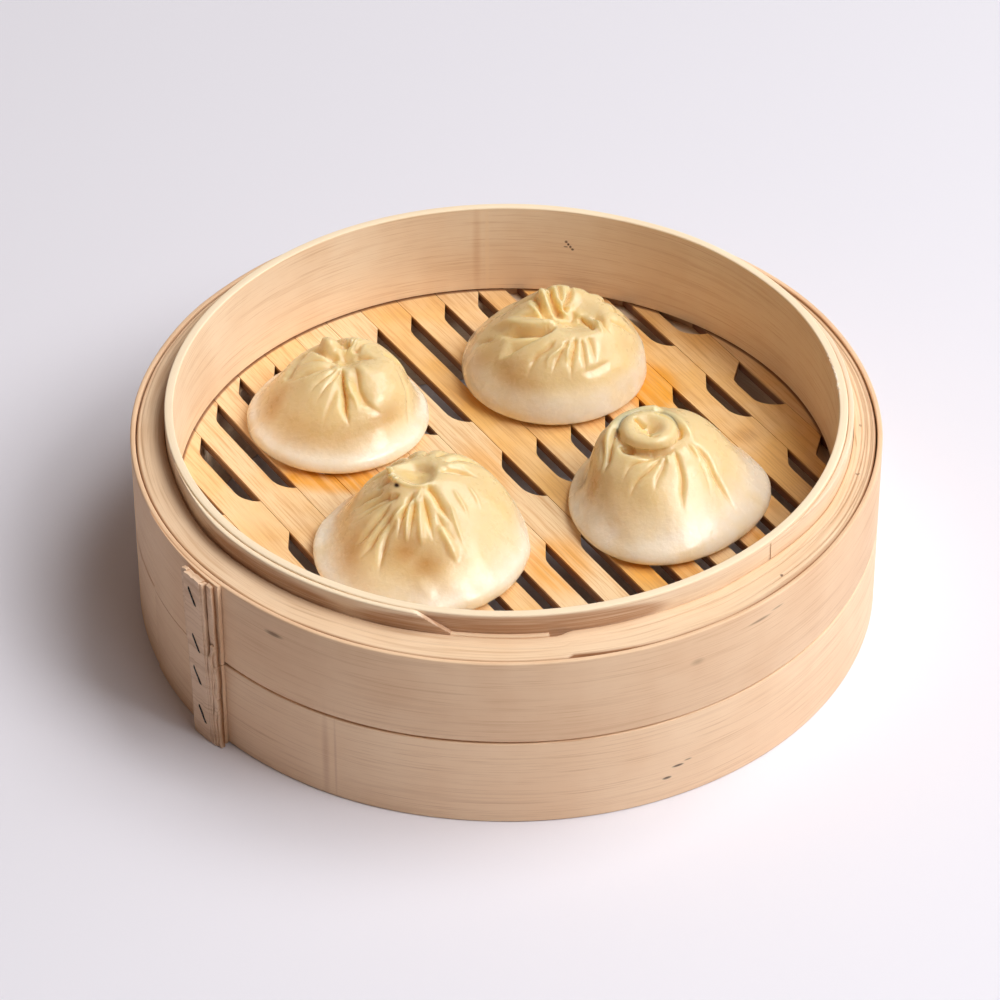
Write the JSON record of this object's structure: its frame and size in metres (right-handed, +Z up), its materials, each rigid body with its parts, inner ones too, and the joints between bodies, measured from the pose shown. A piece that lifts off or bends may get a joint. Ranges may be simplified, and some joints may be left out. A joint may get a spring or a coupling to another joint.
{
  "type": "soup dumplings in a bamboo steamer",
  "caption": "Pleated soup dumplings resting on the slatted floor of a round bamboo steamer basket with a raised inner hoop that takes a lid or the next basket",
  "frame": {"origin": "centre of the basket's base, on the surface it stands on", "axes": "+Z up, -Y towards the front, where the inner hoop's lapped end shows, +X to the right"},
  "size_m": [0.203, 0.203, 0.0592],
  "materials": {
    "bamboo_hoop": "pale bent bamboo, planed, matt",
    "bamboo_strap": "pale bamboo strip, split edges, matt",
    "bamboo_slat": "honey bamboo slats, fine straight fibres, slightly damp",
    "staple_wire": "darkened thin wire",
    "dumpling_wrapper": "steamed wheat dough, moist and slightly translucent"
  },
  "bodies": {
    "root": {"outer_hoop_lower": "bamboo_hoop", "outer_hoop_upper": "bamboo_hoop", "outer_hoop_lower_end": "bamboo_hoop", "outer_hoop_upper_end": "bamboo_hoop", "ledge_ring": "bamboo_hoop", "ledge_filler_strip": "bamboo_hoop", "inner_hoop": "bamboo_hoop", "inner_hoop_front_lap": "bamboo_hoop", "inner_hoop_side_lap": "bamboo_hoop", "floor_support_hoop": "bamboo_hoop", "joint_strap": "bamboo_strap", "strap_staple_1": "staple_wire", "strap_staple_2": "staple_wire", "strap_staple_3": "staple_wire", "strap_staple_4": "staple_wire", "floor_slat_01": "bamboo_slat", "floor_slat_02": "bamboo_slat", "floor_slat_03": "bamboo_slat", "floor_slat_04": "bamboo_slat", "floor_slat_05": "bamboo_slat", "floor_slat_06": "bamboo_slat", "floor_slat_07": "bamboo_slat", "floor_slat_08": "bamboo_slat", "floor_slat_09": "bamboo_slat", "floor_slat_10": "bamboo_slat", "floor_slat_11": "bamboo_slat", "floor_slat_12": "bamboo_slat", "floor_slat_13": "bamboo_slat", "floor_slat_14": "bamboo_slat", "floor_slat_15": "bamboo_slat", "floor_slat_16": "bamboo_slat", "floor_slat_17": "bamboo_slat", "dumpling_left": "dumpling_wrapper", "dumpling_back": "dumpling_wrapper", "dumpling_front": "dumpling_wrapper", "dumpling_right": "dumpling_wrapper"}
  },
  "joints": []
}
